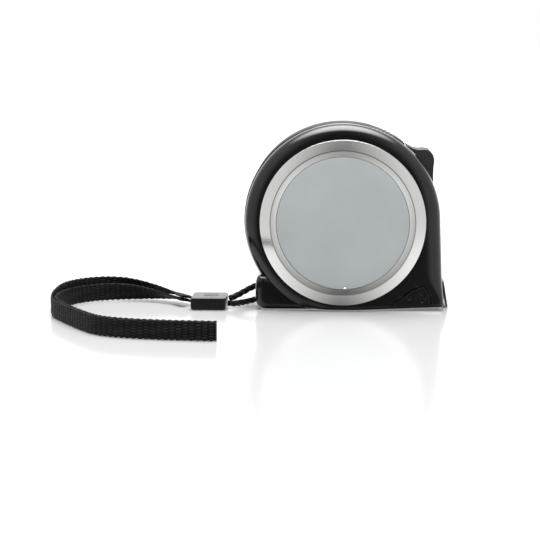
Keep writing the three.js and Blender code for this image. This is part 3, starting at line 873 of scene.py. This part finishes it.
FOOT_X = -31.3
FOOT_TOP = 12.7
FOOT_RECESS = 0.9
FOOT_CORNERS = [
    (FOOT_X, 0, 6.2), (-8, 0), (-8, 4), (-22, FOOT_TOP), (FOOT_X + 0.4, FOOT_TOP, 2.45), (FOOT_X, 8, 3),
]
BAND_RADIUS = 35.6
BAND_DEPTH = 1.2
BAND_HALF = 8
BAND_ARC = (51, 211)
LOCK_ARC = (24.3, 41.7)
PIN_X, PIN_Z = -28.3, 4.6
STRAP_HOLE_RADIUS = 3.8
STRAP_SLOT_HALF = 2.6
SHELL_EDGE = 0.14


def case_cutters(finish):
    """What both shells have cut out of them."""
    hollow = [
        [at(x, side * (HALF_CASE - FACE_WALL), z) for x, _, z in case_ring(WALL, 1, lambda own: 0)]
        for side in (-1, 1)
    ]
    groove = sector(BAND_RADIUS - BAND_DEPTH - 0.3, BAND_RADIUS + 2, BAND_ARC[0] - 0.5, BAND_ARC[1] + 0.5)
    hole = [(x + PIN_X, z + PIN_Z) for x, z in circle_corners(STRAP_HOLE_RADIUS)]
    way = box_corners(-36, PIN_X, -1, PIN_Z + STRAP_HOLE_RADIUS)
    return [
        skin("hollow", hollow, finish),
        slab("groove", groove, -BAND_HALF - 0.3, BAND_HALF + 0.3, (0, 0), finish),
        slab("slot", sector(DRUM_RADIUS - WALL - 1, DRUM_RADIUS + 2, *LOCK_ARC), -3.3, 3.3, (0, 0), finish),
        slab("mouth", box_corners(31, 42, 2.4, 12.9, 0.8), -10.6, 10.6, (0, 0), finish),
        slab("strap_hole", hole, -STRAP_SLOT_HALF, STRAP_SLOT_HALF, (0, 0), finish),
        slab("strap_way", way, -STRAP_SLOT_HALF, STRAP_SLOT_HALF, (0, 0), finish),
    ]


def make_front():
    shell = half_case("case_front", -1, FACE_FILLET, case_black)
    foot = slab("foot", FOOT_CORNERS, -HALF_CASE + FOOT_RECESS, -PARTING, (2.4, 0.25), case_black, steps=8)
    combine(shell, "UNION", [foot])
    crease = turned("crease", [(33.42, -18), (33.72, -18), (33.66, -15.2), (33.48, -15.2)], case_black)
    pocket = slab("pocket", PANEL_POCKET, -HALF_CASE - 1, -HALF_CASE + 1.6, (0, 0), case_black)
    combine(shell, "DIFFERENCE", [pocket] + case_cutters(case_black))
    soften(shell, SHELL_EDGE)
    trim_crease(crease)
    combine(shell, "DIFFERENCE", [crease])
    return finished(shell, "case", "case_black", "front_shell")


def trim_crease(crease):
    """Keeps only the part of the crease cutter that lies between the drum and the foot block."""
    beside_foot = [(-40, -2), (-8, -2), (-8, 8), (-28.6, 15.5), (-40, 15.5)]
    around = slab("around", beside_foot, -19, -14, (0, 0), case_black)
    combine(crease, "INTERSECT", [around])


def make_rear():
    shell = half_case("case_rear", 1, RIM_FILLET, case_black)
    foot = slab("foot", FOOT_CORNERS, PARTING, HALF_CASE - FOOT_RECESS, (0.25, 2.4), case_black, steps=8)
    combine(shell, "UNION", [foot])
    sinks = [
        slab("sink", [(a + x, b + z) for a, b in circle_corners(2.9, 32)], HALF_CASE - 2.1, HALF_CASE + 1,
             (0, 0), case_black)
        for x, z in SCREW_PLACES
    ]
    under_clip = box_corners(-7.9, 7.9, 43.4, 58.6, 1)
    rest = slab("clip_rest", under_clip, HALF_CASE - 1.2, HALF_CASE + 1, (0, 0), case_black)
    ring = turned("ring_line", [(27.6, 16.75), (28.1, 16.75), (28.1, 18), (27.6, 18)], case_black)
    combine(shell, "DIFFERENCE", case_cutters(case_black) + sinks + [rest, ring])
    soften(shell, SHELL_EDGE)
    return finished(shell, "case", "case_black", "rear_shell")


SCREW_PLACES = [(-19.5, 4.2), (27.4, 4.6), (-25.9, 46.8), (9.3, 60.2)]
PANEL_POCKET = [
    (16.6, 1.75, 0.6), (31.8, 2.4, 0.5), (31.9, 3.9), (30.8, 7.7, 1.2),
    (28.9, 9.4, 1), (24.8, 8), (21.6, 5.5),
]
PANEL = [
    (17.6, 1.85, 0.5), (31.4, 2.5, 0.4), (31.5, 3.9), (30.4, 7.35, 1.1),
    (28.7, 8.85, 0.9), (25.0, 7.4), (21.9, 5.05),
]
DIMPLES = [(23.9, 4.9, 0.75), (28.1, 6.6, 0.65), (28.6, 3.9, 0.7), (30, 4.8, 0.45)]


def make_panel():
    """The small plate let into the lower corner, with plain round dimples."""
    panel = slab("corner_plate", PANEL, -HALF_CASE + 0.15, -HALF_CASE + 1.3, (0.3, 0), case_black)
    keep = half_case("keep", -1, FACE_FILLET, case_black)
    combine(panel, "INTERSECT", [keep])
    dimples = [
        slab("dimple", [(a + x, b + z) for a, b in circle_corners(r, 20)], -HALF_CASE - 0.5, -HALF_CASE + 0.5,
             (0, 0), case_black)
        for x, z, r in DIMPLES
    ]
    combine(panel, "DIFFERENCE", dimples)
    soften(panel, 0.1)
    return finished(panel, "case", "case_black", "corner_insert")


def make_band():
    """The rubber grip: a strip let into the rim with cross ribs near its end."""
    rings = []
    angle = BAND_ARC[0]
    while angle <= BAND_ARC[1]:
        end = min(angle - BAND_ARC[0], BAND_ARC[1] - angle)
        tip = math.sqrt(max(0, 1 - (1 - min(end / 1.4, 1)) ** 2))
        rib = 0.5 + 0.5 * math.cos(2 * math.pi * angle / 2.4)
        ribbed = smooth(angle, 57, 59) * (1 - smooth(angle, 71, 73))
        low_top = 0.4 * math.exp(-((angle - 90) / 26) ** 2)
        top = BAND_RADIUS - low_top - 0.75 * (1 - tip) - 0.28 * rib * ribbed
        bottom = BAND_RADIUS - BAND_DEPTH
        section = rounded([
            (bottom, -BAND_HALF), (bottom, BAND_HALF), (top, BAND_HALF, 0.45), (top, -BAND_HALF, 0.45),
        ])
        rings.append([at(round_drum(r, angle)[0], y, round_drum(r, angle)[1]) for r, y in section])
        angle += 0.2 if ribbed > 0 or end < 2 else 1.0
    band = skin("grip_band_rubber", rings, grip_rubber)
    return finished(band, "case", "grip_rubber", "grip_band")


# Round trim


def make_bezel():
    top = -HALF_CASE - 2.4
    profile = rounded([
        (23.72, -16.5), (23.72, top + 0.56, 0.1), (25.7, top, 0.28), (26.05, top + 0.03, 0.2),
        (29.6, top + 1.36, 0.1), (29.6, -16.5),
    ], steps=5)
    bezel = turned("bezel_ring", profile, trim_silver, steps=220)
    return finished(bezel, "case", "trim_silver", "front_bezel")


NIB_X = 0.85
NIB_RADIUS = 0.42


def make_disc():
    """The face plate, very slightly crowned, with a small moulding nib at its lower edge."""
    face = -HALF_CASE - 2.2
    radius = 23.6
    crown = [(radius * k / 8, face + 0.08 * (k / 8) ** 2) for k in range(8)]
    rim = rounded([(radius * 7 / 8, face + 0.07), (radius, face + 0.09, 0.1), (radius, -18)], False)
    profile = crown + rim[1:]
    disc = turned("face_plate", profile + [(0, -18)], disc_grey, steps=200)
    rings = []
    nib_z = AXIS_Z - 23.3
    for k in range(7):
        turn = k / 6 * math.pi / 2
        nib_y = face + 0.1 - 0.4 * math.sin(turn)
        rings.append([
            at(NIB_X + 1.7 * a * math.cos(turn), nib_y, nib_z + b * math.cos(turn))
            for a, b in circle_corners(NIB_RADIUS)
        ])
    nib = skin("nib", rings, trim_silver, sharp=80)
    finished(nib, "case", "trim_silver")
    return finished(disc, "case", "disc_grey", "front_disc")


# Lock button, bumper and hook


def make_button():
    """The thumb button: a curved sole on the drum, and a crown hollowed towards the thumb."""
    crown = [
        (36.0, 45.3, 0), (37.0, 42.9, 1.5), (38.9, 40.6, 1.0), (39.95, 38.7, 0.8), (39.95, 36.3, 1.2),
        (39.4, 33.8, 2), (37.9, 31.0, 2), (36.3, 27.0, 0),
    ]
    sole = [(*round_drum(DRUM_RADIUS + 0.4, a), 0) for a in (24.2, 28, 32, 36, 40, 44, 48.3)]
    corners = [(x, z) if r == 0 else (x, z, r) for x, z, r in sole]
    for radius, degrees, r in crown:
        x, z = round_drum(radius, degrees)
        corners.append((x, z, r) if r else (x, z))
    button = slab("thumb_button", corners, -6.75, 6.75, (0.22, 0.22), button_black, steps=3, sharp=30)
    stem = slab("stem", sector(32.2, 35.9, 33, 41), -3, 3, (0, 0), button_black)
    combine(button, "UNION", [stem], sharp=30)
    return finished(button, "lock", "button_black", "lock_button")


def make_bumper():
    profile = [(31.3, 2.7), (36.3, 2.7, 0.5), (36.72, 3.8, 0.8), (36, 6, 0.8), (34.5, 7.1, 0.7), (31.3, 7)]
    bumper = slab("mouth_lip", profile, -10.3, 10.3, (0.4, 0.4), grip_rubber)
    return finished(bumper, "case", "grip_rubber", "mouth_bumper")


BLADE_SLOPE = math.radians(2)
BLADE_ORIGIN = (24.45 * math.sin(BLADE_SLOPE), AXIS_Z - 24.45 * math.cos(BLADE_SLOPE))
BLADE_THICKNESS = 0.3
BLADE_CAMBER = 2


def on_blade(along, y, up):
    """A place in the frame of the straight blade, which starts under the drum axis."""
    c, s = math.cos(BLADE_SLOPE), math.sin(BLADE_SLOPE)
    return at(BLADE_ORIGIN[0] + along * c - up * s, y, BLADE_ORIGIN[1] + along * s + up * c)


def camber(along, y):
    return BLADE_CAMBER * smooth(along, 4, 20) * (y / BLADE_HALF) ** 2


def curved_strip(name, start, end, half, low, high, finish, steps, cross=36, corner=0.0):
    """A strip on the blade, bent to the blade's camber, its far corners clipped by corner."""
    rings = []
    for k in range(steps + 1):
        along = start + (end - start) * k / steps
        width = half - corner * max(0, 1 - (end - along) / corner) if corner else half
        line = [width * (2 * i / cross - 1) for i in range(cross + 1)]
        ring = [on_blade(along, y, high + camber(along, y)) for y in line]
        ring += [on_blade(along, y, low + camber(along, y)) for y in reversed(line)]
        rings.append(ring)
    return skin(name, rings, finish)


def rivet_holes(finish, radius, stretch=0.0):
    holes = []
    for along in (28.9, 33.1):
        ring = circle_corners(radius, 20)
        rings = [[on_blade(along + a - (stretch if a < 0 else 0), b, up) for a, b in ring] for up in (-2, 4)]
        holes.append(skin("rivet_hole", rings, finish))
    return holes


def make_blade():
    blade = curved_strip("blade_strip", 1.2, 35, BLADE_HALF, -BLADE_THICKNESS / 2, BLADE_THICKNESS / 2,
                         blade_lacquer, 60, corner=2.2)
    combine(blade, "DIFFERENCE", rivet_holes(blade_lacquer, 1.2))
    return finished(blade, "blade", "blade_lacquer", "blade_tongue")


def make_hook():
    """The end hook: a tab on the blade, a bend, and a leaning leg with a nail slot and rounded corners."""
    bottom, top = BLADE_THICKNESS / 2 + 0.3, BLADE_THICKNESS / 2 + 1.0
    face, leg = 36.1, 9.6
    lean = leg * math.tan(math.radians(7))
    leg_corners = [
        (-8.5, 0.0), (-8.5, -leg, 2.0), (8.5, -leg, 2.0), (8.5, 0.0), (7, 0.35, 0.6), (-7, 0.35, 0.6),
    ]

    def stand(a, b, depth):
        return on_blade(face - depth - lean * b / leg, a, top - 0.35 + b)

    hook = slab("end_hook", leg_corners, 0, 0.75, (0.12, 0.12), hook_black, put=stand)
    tab = curved_strip("tab", 26.4, face - 0.35, 5, bottom, top, hook_black, 24, cross=20)
    combine(hook, "UNION", [tab])
    nail_way = [(-1, -7.2, 0.9), (1, -7.2, 0.9), (1, -3.4, 0.9), (-1, -3.4, 0.9)]
    slot = slab("nail_slot", nail_way, -1, 2, (0, 0), hook_black, put=stand)
    combine(hook, "DIFFERENCE", [slot] + rivet_holes(hook_black, 1.2, 0.7))
    soften(hook, 0.08)
    return finished(hook, "hook", "hook_black", "hook")


def make_rivets():
    for index, along in enumerate((28.9, 33.1)):
        profile = rounded([
            (0, -0.9), (1.6, -0.9, 0.3), (1.6, -0.45), (0.9, -0.45), (0.9, 1.45), (1.8, 1.45, 0.1),
            (1.5, 2.05, 0.5), (0, 2.15),
        ])
        rings = []
        for k in range(32):
            c, s = math.cos(2 * math.pi * k / 32), math.sin(2 * math.pi * k / 32)
            rings.append([on_blade(along + r * c, r * s, up) for r, up in profile])
        rivet = skin(f"rivet_{index + 1}", rings, steel, looped=True)
        finished(rivet, "blade", "steel", f"hook_rivet_{index + 1}")


# Back: clip and screws


def cross_recess(x, z, size, start, end, finish):
    arms = []
    for a, b in ((size, 0.32), (0.32, size)):
        arms.append(slab("arm", box_corners(x - a, x + a, z - b, z + b), start, end, (0, 0), finish))
    return arms


def make_screw(name, place, head, seat, height, shank, tip, *nodes):
    """A pan-headed screw with a cross recess."""
    x, z = place
    profile = rounded([
        (0, tip), (shank * 0.5, tip), (shank, tip + 1.5), (shank, seat),
        (head, seat), (head, seat + height * 0.55, 0.3),
        (head * 0.72, seat + height * 0.93, 0.8), (0, seat + height),
    ])
    screw = turned(name, profile, steel, centre=place, steps=48)
    top = seat + height
    combine(screw, "DIFFERENCE", cross_recess(x, z, head * 0.5, top - 0.75, top + 1, steel))
    soften(screw, 0.06)
    return finished(screw, "case", "steel", *nodes)


def make_screws():
    for index, place in enumerate(SCREW_PLACES):
        name, node = f"back_screw_{index + 1}", f"case_screw_{index + 1}"
        make_screw(name, place, 2.6, HALF_CASE - 1.8, 1.5, 1.3, -10, node)
    make_screw("clip_fixing", (0, 52), 3.2, 18, 1.3, 1.4, 12, "clip_screw")


def clip_rib(wide, k, end):
    """How far the clip's stiffening rib stands out at one place."""
    across_rib = 0.25 * smooth(end, 3, 6) * (1 - smooth(abs(wide), 2.2, 3.4))
    return across_rib * smooth(k, 12, 15) * (1 - smooth(k, 30, 33))


def make_clip():
    """The belt clip: a spring strip, bent off the case and rolled up at its tip."""
    inner = [
        (16.9, 58.0), (16.9, 44.5, 1.5), (19.6, 39.0, 3), (20.0, 34.0, 8),
        (18.4, 14.0, 1), (18.0, 12.4, 1.5), (18.9, 9.6, 2), (20.6, 7.6),
    ]
    outer = [
        (21.35, 8.2), (19.6, 10.1, 1.5), (18.8, 12.4, 1.5), (19.2, 14.0, 1),
        (20.8, 34.0, 8), (20.4, 39.3, 3), (17.7, 45.0, 1.5), (17.7, 58.0),
    ]
    count = 40

    def spaced(line):
        fine = rounded(line, closed=False, steps=8)
        lengths = [0.0]
        for p, q in zip(fine, fine[1:]):
            lengths.append(lengths[-1] + (q - p).length)
        places, k = [], 0
        for i in range(count + 1):
            want = lengths[-1] * i / count
            while k < len(fine) - 2 and lengths[k + 1] < want:
                k += 1
            places.append(fine[k].lerp(fine[k + 1], (want - lengths[k]) / (lengths[k + 1] - lengths[k])))
        return places

    rings = []
    for (near, far), k in zip(zip(spaced(inner), spaced(list(reversed(outer)))), range(count + 1)):
        end = min(k, count - k) / count * 55
        half = 7.5 - 2.0 * (1 - math.sqrt(max(0, 1 - (1 - min(end / 2.0, 1)) ** 2)))
        widths = [half * (2 * i / 12 - 1) for i in range(13)]
        section = [(wide, near.x + clip_rib(wide, k, end), near.y) for wide in widths]
        section += [(wide, far.x + clip_rib(wide, k, end), far.y) for wide in reversed(widths)]
        rings.append([at(*place) for place in section])
    clip = skin("belt_clip_spring", rings, clip_steel)
    hole = slab("hole", [(a, 52 + b) for a, b in circle_corners(1.9)], 15, 19, (0, 0), clip_steel)
    combine(clip, "DIFFERENCE", [hole])
    soften(clip, 0.1)
    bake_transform(clip)
    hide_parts("belt_clip")
    return clip


def make_pin():
    profile = rounded([(0, -5.5), (1, -5.5, 0.2), (1, 5.5, 0.2), (0, 5.5)])
    pin = turned("strap_post", profile, steel, centre=(PIN_X, PIN_Z), steps=32)
    return finished(pin, "case", "steel", "strap_pin")


def finish_inside():
    """The pieces inside keep their CAD shapes, with finishes of their own."""
    looks = {
        "spindle": steel, "reel": reel_plastic, "reel_cover": reel_plastic, "mainspring": steel,
        "blade_coil": coil_side, "lock_slider": button_black, "brake_pad": grip_rubber,
    }
    for node, finish in looks.items():
        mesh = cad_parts[node].data
        mesh.materials.clear()
        mesh.materials.append(finish)


make_front()
make_rear()
make_panel()
make_band()
make_bezel()
make_disc()
make_button()
make_bumper()
make_blade()
make_hook()
make_rivets()
make_screws()
make_clip()
make_pin()
finish_inside()


# Floor and light


def make_floor():
    size = 12.0
    mesh = bpy.data.meshes.new("floor")
    corners = [(-size, -size, 0), (size, -size, 0), (size, size, 0), (-size, size, 0)]
    mesh.from_pydata(corners, [], [(0, 1, 2, 3)])
    n = Nodes("floor_white")
    n.link(n.blend(n.between(n.noise(3, 2), 0.3, 0.7), grey(0.3), grey(0.31)), "Base Color")
    n.set(Roughness=0.16, Specular_IOR_Level=0.14)
    mesh.materials.append(n.material)
    floor = bpy.data.objects.new("floor", mesh)
    floor.visible_glossy = False
    bpy.context.scene.collection.objects.link(floor)


def make_world():
    """A white studio: a broad soft light overhead, pale sides, a bright back and a dim front."""
    world = bpy.data.worlds.new("studio")
    world.use_nodes = True
    tree = world.node_tree
    bpy.context.scene.world = world
    background = tree.nodes["Background"]
    background.inputs["Color"].default_value = grey(1)

    def node(kind, operation=None, **inputs):
        made = tree.nodes.new(kind)
        if operation:
            made.operation = operation
        for name, value in inputs.items():
            socket = made.inputs[int(name[1:])]
            if isinstance(value, bpy.types.NodeSocket):
                tree.links.new(value, socket)
            else:
                socket.default_value = value
        return made.outputs[0]

    def step(value, low, high, to_low, to_high):
        return node("ShaderNodeMapRange", None, i0=value, i1=low, i2=high, i3=to_low, i4=to_high)

    direction = tree.nodes.new("ShaderNodeTexCoord").outputs["Generated"]
    split = tree.nodes.new("ShaderNodeSeparateXYZ")
    tree.links.new(direction, split.inputs[0])
    x, y, z = split.outputs
    sideways = step(node("ShaderNodeMath", "ABSOLUTE", i0=x), 0.03, 0.6, 0.13, 0.92)
    above = step(z, 0.3, 0.65, -0.06, 0.06)
    below = step(z, -0.12, -0.4, 0.0, 0.35)
    under = step(z, -0.72, -0.95, 0.0, -0.45)
    behind = step(y, 0.1, 0.8, 0.0, 1.5)
    overhead = step(z, 0.79, 0.97, 0.0, 13.5)
    total = node("ShaderNodeMath", "MAXIMUM", i0=sideways, i1=behind)
    for part in (above, below, under, overhead):
        total = node("ShaderNodeMath", "ADD", i0=total, i1=part)
    rays = tree.nodes.new("ShaderNodeLightPath").outputs["Is Camera Ray"]
    seen = tree.nodes.new("ShaderNodeMix")
    tree.links.new(rays, seen.inputs[0])
    tree.links.new(total, seen.inputs[2])
    seen.inputs[3].default_value = 1.0
    tree.links.new(seen.outputs[0], background.inputs["Strength"])


make_floor()
make_world()
bpy.context.scene.view_settings.view_transform = "Standard"
